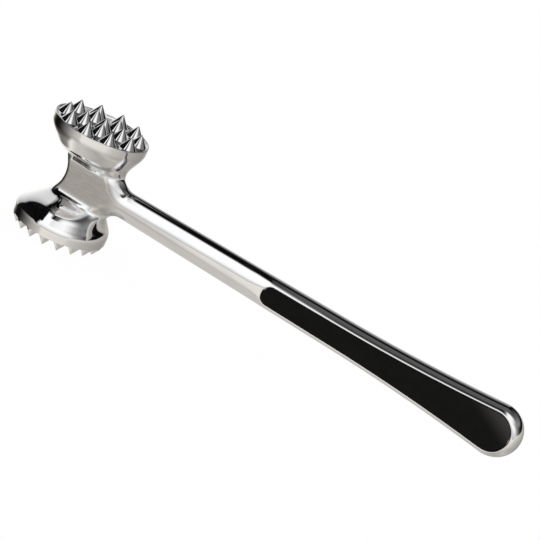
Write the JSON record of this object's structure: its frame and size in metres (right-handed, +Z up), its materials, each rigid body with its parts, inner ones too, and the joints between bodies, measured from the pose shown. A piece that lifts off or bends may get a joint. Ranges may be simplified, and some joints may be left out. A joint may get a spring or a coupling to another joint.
{
  "type": "meat mallet",
  "caption": "Meat mallet with a waisted chrome head, coarse spikes on its upper face, fine teeth on its lower face, and a flat handle that flares to a round butt with soft-grip inlays.",
  "frame": {"origin": "on the head's axis, in the plane of the fine teeth's tips", "axes": "+Z up the head's axis from the fine teeth to the coarse spikes, +X along the handle from the head to the butt"},
  "size_m": [0.2558, 0.046, 0.0615],
  "materials": {
    "chrome": "mirror polished chrome plate on a zinc casting",
    "soft_grip": "matte black soft-touch elastomer",
    "adhesive": "cured bonding film"
  },
  "bodies": {
    "root": {"cast_body": "chrome", "grip_inlay_left": "soft_grip", "grip_inlay_right": "soft_grip", "adhesive_film_left": "adhesive", "adhesive_film_right": "adhesive"}
  },
  "joints": []
}
